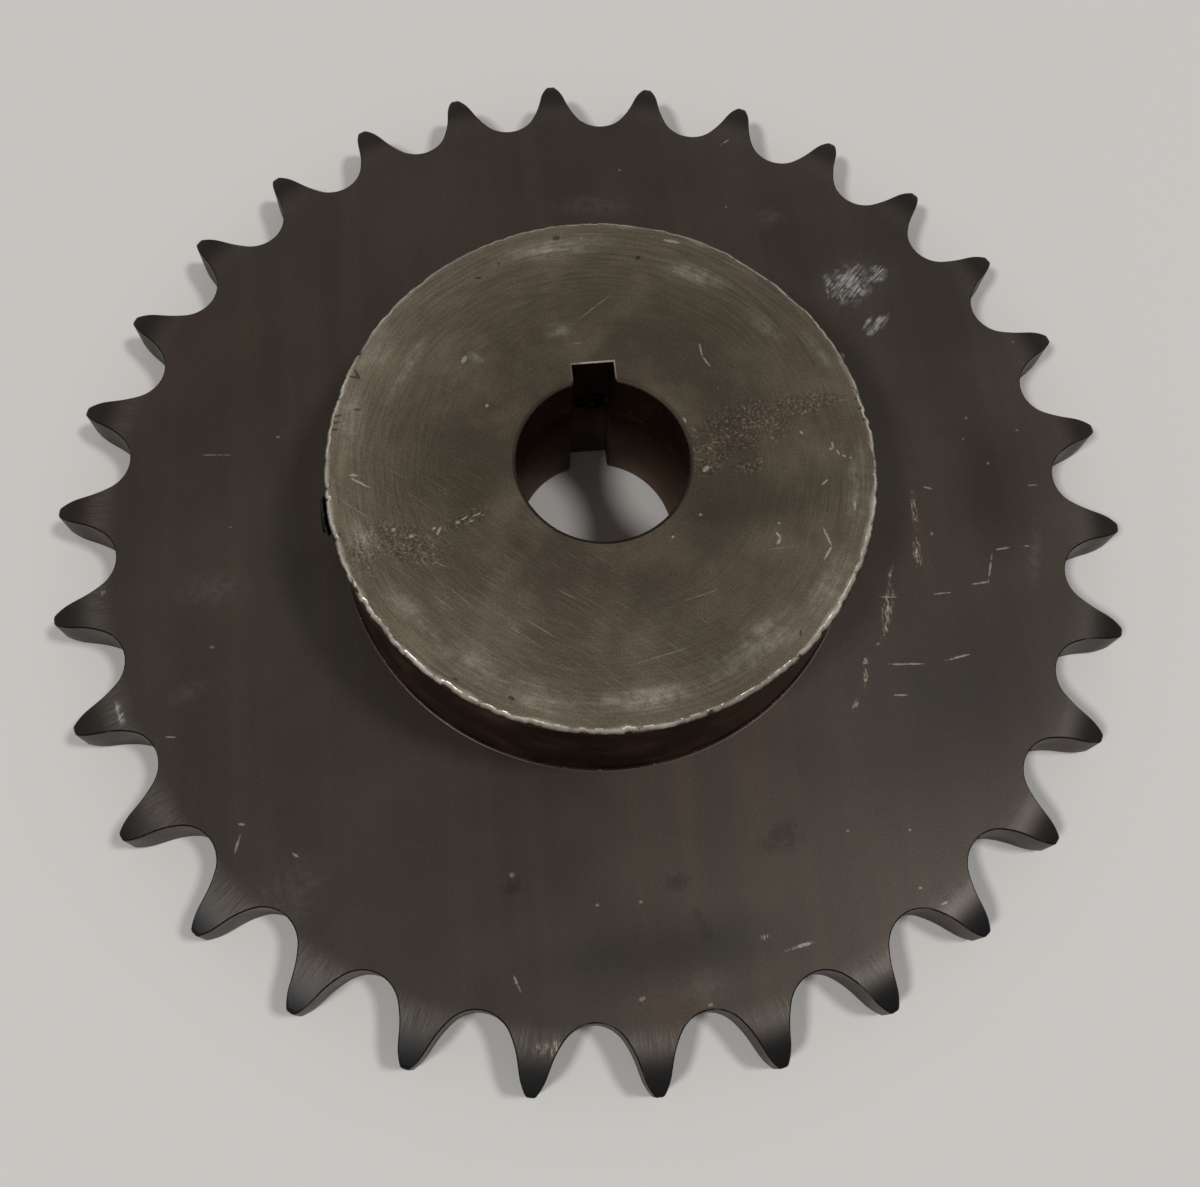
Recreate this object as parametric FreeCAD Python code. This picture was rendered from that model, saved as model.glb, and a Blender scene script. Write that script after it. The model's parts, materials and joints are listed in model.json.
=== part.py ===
import FreeCAD, Part
import math
import os

from FreeCAD import Vector

# Chain sprocket for a one-inch pitch roller chain: a toothed plate with a hub on one side, a plain
# bore with a keyway, and two set screws that lock it to its shaft. Millimetres throughout.
# The back face lies on z = 0 with the hub upwards, and the bore's axis is the Z axis.
# One tooth and the keyway are centred on +Y.

# Chain that the teeth are cut for, and how much wider than a roller its seat is
chain_pitch = 25.4
roller_d = 15.875
roller_play = 0.155
tooth_count = 30

# Plate
plate_thickness = 14.6
tooth_face_height = 11.5
tooth_face_setback = 2.4

# Hub, its rim and the corner where it meets the plate
hub_d = 120.65
through_length = 50.8
hub_rim_bevel = 0.8
hub_corner_radius = 0.8

# Bore and its edges
bore_d = 38.1
bore_front_bevel = 0.8
bore_back_bevel = 1.5

# Keyway for a square key: half the key stands in the hub, with a little room over it
key_width = 9.525
key_top_clearance = 0.13

# Set screws and their tapped holes, drawn plain at the diameter where the two threads meet
screw_to_hub_face = 20.6
thread_d = 9.525
thread_lead = 1.5875
thread_clearance = 0.05
hole_mouth_bevel = 0.7
screw_length = 12.7
screw_proud = 3.0
screw_end_bevel = 0.7
screw_socket_width = 4.7625
screw_socket_depth = 5.6
screw_point_d = 5.2
screw_point_taper = 1.6
screw_cup_depth = 1.3

# Sizes that follow from the chain and the tooth count
half_tooth_angle = math.pi / tooth_count
pitch_radius = chain_pitch / (2 * math.sin(half_tooth_angle))
outer_radius = chain_pitch * (0.6 + 1 / math.tan(half_tooth_angle)) / 2
seat_radius = (roller_d + roller_play) / 2

# Sizes that follow from the hub and bore
bore_radius = bore_d / 2
hub_radius = hub_d / 2
key_side_depth = key_width / 2
key_floor = math.sqrt(bore_radius**2 - (key_width / 2) ** 2) + key_side_depth + key_top_clearance
screw_height = through_length - screw_to_hub_face
thread_engagement = 3 * math.sqrt(3) / 16 * thread_lead
tapped_radius = thread_d / 2 - thread_engagement
screw_radius = tapped_radius - thread_clearance

# How far a cutting shape runs past the surface that it cuts
overrun = 1.0

# Directions in which the set screws point out of the hub, in degrees from +X
keyway_direction = 90.0
side_direction = 180.0


def on_circle(centre, radius, angle):
    return centre + Vector(radius * math.cos(angle), radius * math.sin(angle), 0)


def arc(centre, radius, start, end):
    return Part.Arc(
        on_circle(centre, radius, start),
        on_circle(centre, radius, (start + end) / 2),
        on_circle(centre, radius, end),
    ).toShape()


def line(start, end):
    return Part.LineSegment(start, end).toShape()


def mirrored(edge):
    return edge.mirror(Vector(0, 0, 0), Vector(1, 0, 0))


def tooth_gap():
    """The space between two teeth, centred on +Y: a seat for the roller between two flanks.

    Each flank is a hollow working curve, a short straight run and a rounded topping curve,
    all tangent to each other, in the standard proportions of roller-chain teeth: the angles
    vary a little with the tooth count, and the curves' centres lie off by shares of a roller."""
    seat_angle = math.radians(35) + half_tooth_angle / 3
    work_sweep = math.radians(18) - math.radians(56) / tooth_count
    top_sweep = math.radians(17) - math.radians(64) / tooth_count
    flank_angle = seat_angle - work_sweep
    work_offset = 0.8 * roller_d
    top_offset = 1.4 * roller_d

    seat_centre = Vector(0, pitch_radius, 0)
    work_centre = on_circle(seat_centre, work_offset, seat_angle)
    work_radius = seat_radius + work_offset
    straight = top_offset * math.sin(top_sweep) - work_offset * math.sin(work_sweep)
    top_radius = top_offset * math.cos(top_sweep) + work_offset * math.cos(work_sweep) - work_radius

    straight_start = on_circle(work_centre, work_radius, math.pi + flank_angle)
    straight_end = on_circle(straight_start, straight, math.pi / 2 + flank_angle)
    top_centre = on_circle(straight_end, top_radius, math.pi + flank_angle)

    centre_distance = top_centre.Length
    tip_cosine = (outer_radius**2 + centre_distance**2 - top_radius**2) / (2 * outer_radius * centre_distance)
    tip_angle = math.atan2(top_centre.y, top_centre.x) - math.acos(tip_cosine)
    tip = on_circle(Vector(0, 0, 0), outer_radius, tip_angle)
    clear_of_tip = on_circle(Vector(0, 0, 0), outer_radius + 2 * overrun, tip_angle)
    top_end_angle = math.atan2(tip.y - top_centre.y, tip.x - top_centre.x)

    bottom_angle = 3 * math.pi / 2
    half = [
        arc(seat_centre, seat_radius, bottom_angle, math.pi + seat_angle),
        arc(work_centre, work_radius, math.pi + seat_angle, math.pi + flank_angle),
        line(straight_start, straight_end),
        arc(top_centre, top_radius, flank_angle, top_end_angle),
        line(tip, clear_of_tip),
    ]
    lid = line(clear_of_tip, Vector(-clear_of_tip.x, clear_of_tip.y, 0))
    edges = half + [mirrored(edge) for edge in half] + [lid]
    outline = Part.Wire(Part.__sortEdges__(edges))
    outline.translate(Vector(0, 0, -overrun))
    return Part.Face(outline).extrude(Vector(0, 0, plate_thickness + 2 * overrun))


def turned_blank():
    """The section of plate, hub and bore, turned about Z. The tooth faces curve back to a thin tip."""
    tooth_face_radius = (tooth_face_height**2 + tooth_face_setback**2) / (2 * tooth_face_setback)
    face_start = outer_radius - tooth_face_height
    face_sweep = math.asin(tooth_face_height / tooth_face_radius)
    corner = hub_radius + hub_corner_radius
    front = through_length
    top = plate_thickness

    def at(radius, height):
        return Vector(radius, 0, height)

    def curved(centre_radius, centre_height, radius, start, end):
        points = []
        for angle in (start, (start + end) / 2, end):
            across = centre_radius + radius * math.cos(angle)
            up = centre_height + radius * math.sin(angle)
            points.append(at(across, up))
        return Part.Arc(*points).toShape()

    upright = math.pi / 2
    edges = [
        line(at(bore_radius + bore_back_bevel, 0), at(bore_radius, bore_back_bevel)),
        line(at(bore_radius, bore_back_bevel), at(bore_radius, front - bore_front_bevel)),
        line(at(bore_radius, front - bore_front_bevel), at(bore_radius + bore_front_bevel, front)),
        line(at(bore_radius + bore_front_bevel, front), at(hub_radius - hub_rim_bevel, front)),
        line(at(hub_radius - hub_rim_bevel, front), at(hub_radius, front - hub_rim_bevel)),
        line(at(hub_radius, front - hub_rim_bevel), at(hub_radius, top + hub_corner_radius)),
        curved(corner, top + hub_corner_radius, hub_corner_radius, math.pi, math.pi + upright),
        line(at(corner, top), at(face_start, top)),
        curved(face_start, top - tooth_face_radius, tooth_face_radius, upright, upright - face_sweep),
        line(at(outer_radius, top - tooth_face_setback), at(outer_radius, tooth_face_setback)),
        curved(face_start, tooth_face_radius, tooth_face_radius, -upright + face_sweep, -upright),
        line(at(face_start, 0), at(bore_radius + bore_back_bevel, 0)),
    ]
    section = Part.Face(Part.Wire(edges))
    return section.revolve(Vector(0, 0, 0), Vector(0, 0, 1), 360)


def keyway():
    slot = Part.makeBox(key_width, key_floor, through_length + 2 * overrun)
    slot.translate(Vector(-key_width / 2, 0, -overrun))
    return slot


def point_outwards(shape, direction):
    """Turns a shape made along +Z to stick out of the hub in the given direction, at the screws' height."""
    shape.rotate(Vector(0, 0, 0), Vector(0, 1, 0), 90)
    shape.rotate(Vector(0, 0, 0), Vector(0, 0, 1), direction)
    shape.translate(Vector(0, 0, screw_height))
    return shape


def tapped_hole(direction):
    """From the bore out through the hub's wall, with its mouth bevelled."""
    hole = Part.makeCylinder(tapped_radius, hub_radius + overrun)
    mouth = Part.makeCone(
        tapped_radius,
        tapped_radius + hole_mouth_bevel + overrun,
        hole_mouth_bevel + overrun,
        Vector(0, 0, hub_radius - hole_mouth_bevel),
    )
    return point_outwards(hole.fuse(mouth), direction)


def make_sprocket():
    gap = tooth_gap()
    gaps = []
    for number in range(tooth_count):
        one = gap.copy()
        one.rotate(Vector(0, 0, 0), Vector(0, 0, 1), math.degrees(half_tooth_angle * (2 * number + 1)))
        gaps.append(one)
    cuts = gaps + [keyway(), tapped_hole(keyway_direction), tapped_hole(side_direction)]
    return turned_blank().cut(cuts).removeSplitter()


def make_set_screw(direction):
    """A socket set screw with a cup point, its socket outwards and its point towards the bore."""
    outer_end = hub_radius + screw_proud
    inner_end = outer_end - screw_length
    point_radius = screw_point_d / 2

    def at(radius, along):
        return Vector(radius, 0, along)

    corners = [
        at(0, inner_end + screw_cup_depth),
        at(point_radius, inner_end),
        at(screw_radius, inner_end + screw_point_taper),
        at(screw_radius, outer_end - screw_end_bevel),
        at(screw_radius - screw_end_bevel, outer_end),
        at(0, outer_end),
    ]
    section = Part.Face(Part.makePolygon(corners + corners[:1]))
    body = section.revolve(Vector(0, 0, 0), Vector(0, 0, 1), 360)

    corner_radius = screw_socket_width / math.sqrt(3)
    hexagon = [
        on_circle(Vector(0, 0, outer_end - screw_socket_depth), corner_radius, math.radians(60 * side))
        for side in range(7)
    ]
    socket = Part.Face(Part.makePolygon(hexagon)).extrude(Vector(0, 0, screw_socket_depth + overrun))
    return point_outwards(body.cut(socket), direction)


def main():
    os.makedirs("parts", exist_ok=True)
    parts = {
        "sprocket": make_sprocket(),
        "set_screw_keyway": make_set_screw(keyway_direction),
        "set_screw_side": make_set_screw(side_direction),
    }
    for name, shape in parts.items():
        shape.exportStep("parts/" + name + ".step")


main()
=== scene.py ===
# Chain sprocket for a one-inch pitch roller chain: a toothed plate with a turned hub, dark and oiled,
# with the bright rim, rubs and scratches of a used part, and two black set screws in its hub.

import json
import math
import random

import bmesh
import bpy
from mathutils import Matrix, Vector


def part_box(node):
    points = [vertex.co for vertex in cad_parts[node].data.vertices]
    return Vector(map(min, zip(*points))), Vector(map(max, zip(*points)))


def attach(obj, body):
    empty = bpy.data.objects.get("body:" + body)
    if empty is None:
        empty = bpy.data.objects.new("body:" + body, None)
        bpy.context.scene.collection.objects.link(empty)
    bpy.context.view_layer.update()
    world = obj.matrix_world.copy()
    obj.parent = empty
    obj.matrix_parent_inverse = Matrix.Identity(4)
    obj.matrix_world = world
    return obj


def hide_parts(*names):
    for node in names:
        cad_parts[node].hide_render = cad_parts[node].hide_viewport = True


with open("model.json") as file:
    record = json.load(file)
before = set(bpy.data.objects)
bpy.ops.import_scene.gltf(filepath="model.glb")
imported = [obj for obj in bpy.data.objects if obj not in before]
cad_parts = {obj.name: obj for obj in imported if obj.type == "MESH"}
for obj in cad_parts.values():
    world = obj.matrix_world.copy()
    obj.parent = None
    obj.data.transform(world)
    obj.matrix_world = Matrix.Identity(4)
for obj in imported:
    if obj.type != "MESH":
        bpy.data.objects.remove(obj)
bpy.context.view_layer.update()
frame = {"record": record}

mm = 0.001
up = Vector((0, 0, 1))

# Sizes that the frame gives
mounts = {mount["name"]: mount for mount in frame["record"]["mounts"]}
bore_radius = mounts["bore"]["dims"]["r_mm"] * mm
key_floor = mounts["keyway"]["pos_m"][1]
through_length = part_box("sprocket")[1].z
screw_low, screw_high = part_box("set_screw_side")
screw_height = (screw_low.z + screw_high.z) / 2
screw_end = -screw_low.x
screw_length = screw_high.x - screw_low.x

# Chain that the teeth are cut for
chain_pitch = 25.4 * mm
roller_d = 15.875 * mm
roller_play = 0.155 * mm
tooth_count = 30

# Plate, hub, bore and keyway
plate_thickness = 14.6 * mm
tooth_face_height = 11.5 * mm
tooth_face_setback = 2.4 * mm
tooth_edge_bevel = 0.3 * mm
hub_radius = 60.325 * mm
hub_corner_radius = 0.8 * mm
rim_bevel = 0.8 * mm
bore_front_bevel = 0.8 * mm
bore_back_bevel = 1.5 * mm
key_width = 9.525 * mm
key_edge_bevel = 0.3 * mm

# Set screws and their tapped holes
thread_d = 9.525 * mm
thread_lead = 1.5875 * mm
thread_depth = 0.6 * thread_lead
thread_clearance = 0.05 * mm
mouth_bevel = 0.7 * mm
screw_end_bevel = 0.7 * mm
socket_width = 4.7625 * mm
socket_depth = 5.6 * mm
socket_tip = 1.2 * mm
point_radius = 2.6 * mm
point_taper = 1.6 * mm
cup_depth = 1.3 * mm

# Sizes that follow
half_tooth_angle = math.pi / tooth_count
pitch_radius = chain_pitch / (2 * math.sin(half_tooth_angle))
outer_radius = chain_pitch * (0.6 + 1 / math.tan(half_tooth_angle)) / 2
seat_radius = (roller_d + roller_play) / 2
face_start = outer_radius - tooth_face_height
face_radius = (tooth_face_height**2 + tooth_face_setback**2) / (2 * tooth_face_setback)
plate_inner = hub_radius + hub_corner_radius
# Radius past which only teeth lie, and height over the axis past which the keyway lies
teeth_from = pitch_radius - roller_d
keyway_from = 0.9 * bore_radius
# The crests stay just clear of the keyway's sides, which are as far apart
thread_crest = thread_d / 2 - 0.02 * mm
thread_root = thread_crest - thread_depth

# How finely round shapes are divided
arc_steps = 24
corner_steps = 4
flank_steps = 40
# The seat's outline on the plate takes every fourth point of the flank
seat_step = 4
# Five steps to a tooth put no point of the bore close beside a corner of the keyway
bore_arc_steps = 5
tooth_rows = 12
tooth_columns = 6
thread_rows = 8
thread_steps = 36
# Rows of points close to the rim, for its knocks: mm below its bevel, and mm in from the bevel
rim_drops = (1.2, 0.8, 0.5, 0.25, 0)
rim_reaches = (0, 0.25, 0.5, 0.8, 1.2, 1.8)

# How far a cutter runs past what it cuts, and how close points or angles are the same
overrun = 1 * mm
same_point = 0.001 * mm
same_point_after_cut = 0.01 * mm
same_angle = 1e-5

# The angles between faces from which an edge is broken, and from which it is shaded as an edge
broken_angle = math.radians(40)
shaded_angle = math.radians(38)


def add(tree, kind, inputs=None, **settings):
    """Adds a node, with its settings and with values or links for its inputs, and gives its first output."""
    made = tree.nodes.new("ShaderNode" + kind)
    for name, value in settings.items():
        setattr(made, name, value)
    open_inputs = [socket for socket in made.inputs if socket.enabled]
    for key, value in (inputs or {}).items():
        socket = open_inputs[key] if isinstance(key, int) else next(s for s in open_inputs if s.name == key)
        if isinstance(value, bpy.types.NodeSocket):
            tree.links.new(value, socket)
        else:
            socket.default_value = value
    shown = [socket for socket in made.outputs if socket.enabled]
    return shown[0] if shown else made


def colour(code):
    """Linear RGBA of an sRGB hex colour."""
    parts = [int(code[i : i + 2], 16) / 255 for i in (1, 3, 5)]
    linear = [c / 12.92 if c <= 0.04045 else ((c + 0.055) / 1.055) ** 2.4 for c in parts]
    return (*linear, 1.0)


def polar(radius, angle, height):
    return Vector((radius * math.cos(angle), radius * math.sin(angle), height))


def piece_from(mesh, name):
    """Makes an object of a bmesh, with its doubled points merged and its faces turned outwards."""
    bmesh.ops.remove_doubles(mesh, verts=mesh.verts, dist=same_point)
    bmesh.ops.recalc_face_normals(mesh, faces=mesh.faces)
    data = bpy.data.meshes.new(name)
    mesh.to_mesh(data)
    mesh.free()
    made = bpy.data.objects.new(name, data)
    bpy.context.scene.collection.objects.link(made)
    return made


def spin_profile(mesh, profile, start, sweep, steps):
    """Spins a profile of (radius, height) points round Z, closed where it goes all the way round."""
    points = [mesh.verts.new(polar(radius, start, height)) for radius, height in profile]
    edges = [mesh.edges.new(pair) for pair in zip(points, points[1:])]
    whole = sweep == math.tau
    bmesh.ops.spin(
        mesh, geom=points + edges, axis=up, cent=(0, 0, 0), angle=sweep, steps=steps, use_merge=whole
    )


# The toothed wheel


def flank():
    """Radius and half angle of a tooth, from the bottom of its gap to the corner of its tip.

    It is a roller seat, a hollow working curve, a short straight and a rounded top, as such teeth are cut."""
    seat_angle = math.radians(35) + half_tooth_angle / 3
    work_sweep = math.radians(18) - math.radians(56) / tooth_count
    top_sweep = math.radians(17) - math.radians(64) / tooth_count
    lean = seat_angle - work_sweep
    work_offset = 0.8 * roller_d
    work_radius = seat_radius + work_offset
    straight = roller_d * (1.4 * math.sin(top_sweep) - 0.8 * math.sin(work_sweep))
    top_radius = roller_d * (0.8 * math.cos(work_sweep) + 1.4 * math.cos(top_sweep)) - work_radius

    seat_centre = Vector((0, pitch_radius, 0))
    work_centre = seat_centre + polar(work_offset, seat_angle, 0)
    straight_start = work_centre + polar(work_radius, math.pi + lean, 0)
    straight_end = straight_start + polar(straight, math.pi / 2 + lean, 0)
    top_centre = straight_end + polar(top_radius, math.pi + lean, 0)

    curves = [
        (seat_centre, seat_radius, 1.5 * math.pi, math.pi + seat_angle),
        (work_centre, work_radius, math.pi + seat_angle, math.pi + lean),
        (top_centre, top_radius, lean, lean + math.pi / 2),
    ]
    points = []
    for centre, radius, start, end in curves:
        for i in range(flank_steps + 1):
            points.append(centre + polar(radius, start + (end - start) * i / flank_steps, 0))
    tooth_middle = math.pi / 2 + half_tooth_angle
    return [(point.length, tooth_middle - math.atan2(point.y, point.x)) for point in points]


def half_angle(curve, radius):
    """Half the angle that a tooth takes up at a radius."""
    for (low, wide), (high, narrow) in zip(curve, curve[1:]):
        if low <= radius <= high and high > low:
            return wide + (narrow - wide) * (radius - low) / (high - low)
    return curve[-1][1]


def tooth_face(radius):
    """Height of the plate's front, which curves back towards the tips of the teeth."""
    past = max(0.0, radius - face_start)
    return plate_thickness - face_radius + math.sqrt(face_radius**2 - past**2)


def tooth_share(mesh):
    """One tooth, centred on +Y, with its share of the plate's front and back and of its edge."""
    middle = math.pi / 2
    top = plate_thickness
    curve = flank()
    short_of_face = face_start - 0.1 * mm
    seat = [point for point in curve[:flank_steps:seat_step] if point[0] < short_of_face]
    first = half_angle(curve, face_start)
    right = [polar(radius, middle - angle, top) for radius, angle in seat]
    left = [polar(radius, middle + angle, top) for radius, angle in reversed(seat)]
    across = [
        polar(face_start, middle - first + 2 * first * i / tooth_columns, top)
        for i in range(tooth_columns + 1)
    ]
    inside = [
        polar(plate_inner, middle + half_tooth_angle * (1 - 2 * i / arc_steps), top)
        for i in range(arc_steps + 1)
    ]
    mesh.faces.new([mesh.verts.new(place) for place in right + across + left + inside])

    grid = bmesh.ops.create_grid(mesh, x_segments=tooth_columns, y_segments=tooth_rows, size=1)
    for vert in grid["verts"]:
        radius = face_start + tooth_face_height * (vert.co.y + 1) / 2
        angle = middle - vert.co.x * half_angle(curve, radius)
        vert.co = polar(radius, angle, tooth_face(radius))
    bmesh.ops.remove_doubles(mesh, verts=mesh.verts, dist=same_point)

    def on_inside(edge):
        return all(vert.co.length < plate_inner + top for vert in edge.verts)

    def on_side(edge):
        return all(
            abs(abs(math.atan2(vert.co.y, vert.co.x) - middle) - half_tooth_angle) < same_angle
            for vert in edge.verts
        )

    outline = [edge for edge in mesh.edges if edge.is_boundary and not on_inside(edge) and not on_side(edge)]
    front = mesh.verts[:] + mesh.edges[:] + mesh.faces[:]
    walls = bmesh.ops.extrude_edge_only(mesh, edges=outline)
    back = bmesh.ops.duplicate(mesh, geom=front)
    for item in walls["geom"] + back["geom"]:
        if isinstance(item, bmesh.types.BMVert):
            item.co.z = plate_thickness - item.co.z


def hub_profile():
    """The hub's side from the plate to its front, with the corner, the rim and the first of the face."""
    corner = []
    for i in range(corner_steps + 1):
        turn = math.pi / 2 * i / corner_steps
        radius = plate_inner - hub_corner_radius * math.sin(turn)
        corner.append((radius, plate_thickness + hub_corner_radius * (1 - math.cos(turn))))
    side = [(hub_radius, screw_height)]
    below_rim = [(hub_radius, through_length - rim_bevel - drop * mm) for drop in rim_drops]
    across_rim = [
        (hub_radius - rim_bevel * part, through_length - rim_bevel * (1 - part)) for part in (0.3, 0.7)
    ]
    face = [(hub_radius - rim_bevel - reach * mm, through_length) for reach in rim_reaches]
    return corner + side + below_rim + across_rim + face


def bore_profile():
    front = through_length
    return [
        (bore_radius + bore_front_bevel, front),
        (bore_radius, front - bore_front_bevel),
        (bore_radius, front / 2),
        (bore_radius, bore_back_bevel),
        (bore_radius + bore_back_bevel, 0),
    ]


def edges_on(mesh, radius, height):
    """The open edges that lie on a circle round the axis."""
    return [
        edge
        for edge in mesh.edges
        if edge.is_boundary
        and all(
            abs(vert.co.z - height) < same_point and abs(vert.co.xy.length - radius) < same_point
            for vert in edge.verts
        )
    ]


def hub_share(mesh):
    """The hub and bore over one tooth's share of the circle, joined to the plate."""
    start = math.pi / 2 - half_tooth_angle
    sweep = 2 * half_tooth_angle
    spin_profile(mesh, hub_profile(), start, sweep, arc_steps)
    spin_profile(mesh, bore_profile(), start, sweep, bore_arc_steps)
    bmesh.ops.remove_doubles(mesh, verts=mesh.verts, dist=same_point)
    face_edge, front = hub_profile()[-1]
    hub_face = edges_on(mesh, face_edge, front) + edges_on(mesh, bore_radius + bore_front_bevel, front)
    bmesh.ops.bridge_loops(mesh, edges=hub_face)
    back_face = edges_on(mesh, plate_inner, 0) + edges_on(mesh, bore_radius + bore_back_bevel, 0)
    bmesh.ops.bridge_loops(mesh, edges=back_face)


def thread_radius(along, angle, crest, root):
    """A sixty degree thread with flat crests and roots, as a helix along an axis."""
    phase = (along / thread_lead - angle / math.tau) % 1
    wave = 1.25 * abs(2 * phase - 1) - 0.125
    return root + (crest - root) * min(1.0, max(0.0, wave))


def along_axis(direction):
    """Turns what is made along Z to point out of the hub in a direction, at the set screws' height."""
    return (
        Matrix.Translation((0, 0, screw_height))
        @ Matrix.Rotation(direction, 4, "Z")
        @ Matrix.Rotation(math.pi / 2, 4, "Y")
    )


def tap(direction):
    """What a drill and a tap take out of the hub, from the bore outwards."""
    mesh = bmesh.new()
    start = bore_radius / 2
    end = hub_radius + overrun
    rows = round((end - start) / thread_lead * thread_rows)
    heights = [start + (end - start) * i / rows for i in range(rows + 1)]
    profile = [(0, start)] + [(thread_root, height) for height in heights] + [(0, end)]
    spin_profile(mesh, profile, 0, math.tau, thread_steps)
    bmesh.ops.remove_doubles(mesh, verts=mesh.verts, dist=same_point)
    for vert in mesh.verts:
        if vert.co.xy.length < same_point:
            continue
        angle = math.atan2(vert.co.y, vert.co.x)
        grown = vert.co.z - hub_radius + mouth_bevel
        radius = max(thread_radius(vert.co.z, angle, thread_crest, thread_root), thread_root + grown)
        vert.co = polar(radius, angle, vert.co.z)
    mesh.transform(along_axis(direction))
    return piece_from(mesh, "tap")


def key_slot():
    mesh = bmesh.new()
    made = bmesh.ops.create_cube(mesh, size=1)
    size = Vector((key_width, key_floor, through_length + 2 * overrun))
    bmesh.ops.scale(mesh, vec=size, verts=made["verts"])
    bmesh.ops.translate(mesh, vec=(0, key_floor / 2, through_length / 2), verts=made["verts"])
    return piece_from(mesh, "key_slot")


def cut(piece, cutters):
    """Takes the cutters out of the piece, and removes them."""
    for cutter in cutters:
        trim = piece.modifiers.new("cut", "BOOLEAN")
        trim.operation = "DIFFERENCE"
        trim.solver = "EXACT"
        trim.object = cutter
    shape = bpy.data.meshes.new_from_object(piece.evaluated_get(bpy.context.evaluated_depsgraph_get()))
    piece.modifiers.clear()
    piece.data = shape
    for cutter in cutters:
        bpy.data.objects.remove(cutter)


# Wear of the hub's rim: how far in and down it reaches, its least depth in mm, and how many waves and nicks
wear_width = 2 * mm
wear_height = 3 * mm
least_wear = 0.06
wave_count = 14
nick_count = 60
# Under 1, a dent is steeper at its ends than a wave
dent_power = 0.6

# Dents of the hub's rim: azimuth from +X in degrees, half width in degrees, depth in mm
rim_dents = [
    (48, 7, 0.55),
    (38, 5, 0.5),
    (9, 2.2, 0.5),
    (5.5, 1.2, 0.55),
    (2.5, 0.8, 0.4),
    (-31, 1.5, 0.3),
    (-38, 0.8, 0.4),
    (-46, 0.6, 0.35),
    (-60, 1.2, 0.35),
    (-91, 0.8, 0.45),
    (-110, 1.0, 0.35),
    (-128, 1.5, 0.45),
    (-146, 3.0, 0.5),
    (-152, 1.0, 0.45),
    (-167, 0.6, 0.6),
    (-176, 0.5, 0.5),
    (160, 1.2, 0.4),
    (148, 3, 0.3),
    (128, 1.0, 0.35),
    (75, 4, 0.3),
]


def wear_rim(mesh):
    """Knocks the hub's rim back unevenly: small waves all round, and dents where it was hit."""
    rng = random.Random(7)
    # How many of a wave go round the rim, where it starts, and its depth in mm
    waves = []
    for _ in range(wave_count):
        waves.append((rng.randint(20, 160), rng.uniform(0, math.tau), rng.uniform(0.01, 0.035)))
    # Given in the same way as the dents
    nicks = []
    for _ in range(nick_count):
        nicks.append((rng.uniform(-180, 180), rng.uniform(0.25, 0.8), rng.uniform(0.1, 0.3)))
    for vert in mesh.verts:
        over = (vert.co.xy.length - hub_radius) + (vert.co.z - through_length) + rim_bevel
        if over < -wear_width or vert.co.z < through_length - wear_height:
            continue
        azimuth = math.atan2(vert.co.y, vert.co.x)
        depth = least_wear + sum(size * math.sin(count * azimuth + phase) for count, phase, size in waves)
        for centre, half_width, size in rim_dents + nicks:
            apart = (math.degrees(azimuth) - centre + 180) % 360 - 180
            if abs(apart) < half_width:
                depth = max(depth, size * math.cos(apart / half_width * math.pi / 2) ** dent_power)
        past = over + max(0.0, depth) * mm
        if past > 0:
            outward = vert.co.xy.normalized()
            vert.co.x -= outward.x * past / 2
            vert.co.y -= outward.y * past / 2
            vert.co.z -= past / 2


def soften_edges(mesh):
    """Breaks the sharp edges of the teeth and of the keyway."""

    def sharp(edge):
        return len(edge.link_faces) == 2 and edge.calc_face_angle() > broken_angle

    def on_tooth(edge):
        return all(vert.co.xy.length > teeth_from for vert in edge.verts)

    def on_tapped_hole(edge):
        return all(
            abs(vert.co.z - screw_height) < thread_d and vert.co.y > key_floor - same_point
            for vert in edge.verts
        )

    def on_keyway(edge):
        on_walls = all(
            (abs(abs(vert.co.x) - key_width / 2) < same_point or abs(vert.co.y - key_floor) < same_point)
            and vert.co.y > keyway_from
            and vert.co.xy.length < hub_radius / 2
            for vert in edge.verts
        )
        return on_walls and edge.is_convex and not on_tapped_hole(edge)

    for there, width in ((on_tooth, tooth_edge_bevel), (on_keyway, key_edge_bevel)):
        bmesh.ops.bevel(
            mesh,
            geom=[edge for edge in mesh.edges if sharp(edge) and there(edge)],
            offset=width,
            offset_type="OFFSET",
            affect="EDGES",
            segments=1,
            profile=0.5,
            material=-1,
        )


def toothed_wheel():
    """Plate, teeth and hub as one solid, with its bore, keyway and tapped holes."""
    mesh = bmesh.new()
    tooth_share(mesh)
    hub_share(mesh)
    bmesh.ops.spin(
        mesh,
        geom=mesh.verts[:] + mesh.edges[:] + mesh.faces[:],
        axis=up,
        cent=(0, 0, 0),
        angle=math.tau - 2 * half_tooth_angle,
        steps=tooth_count - 1,
        use_duplicate=True,
    )
    wheel = piece_from(mesh, "toothed_wheel")
    cut(wheel, [key_slot(), tap(math.radians(90)), tap(math.radians(180))])

    mesh = bmesh.new()
    mesh.from_mesh(wheel.data)
    # The cut leaves slivers where the threads run out
    bmesh.ops.remove_doubles(mesh, verts=mesh.verts, dist=same_point_after_cut)
    bmesh.ops.dissolve_degenerate(mesh, edges=mesh.edges, dist=same_point_after_cut)
    soften_edges(mesh)
    wear_rim(mesh)
    mesh.to_mesh(wheel.data)
    mesh.free()
    return wheel


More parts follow.
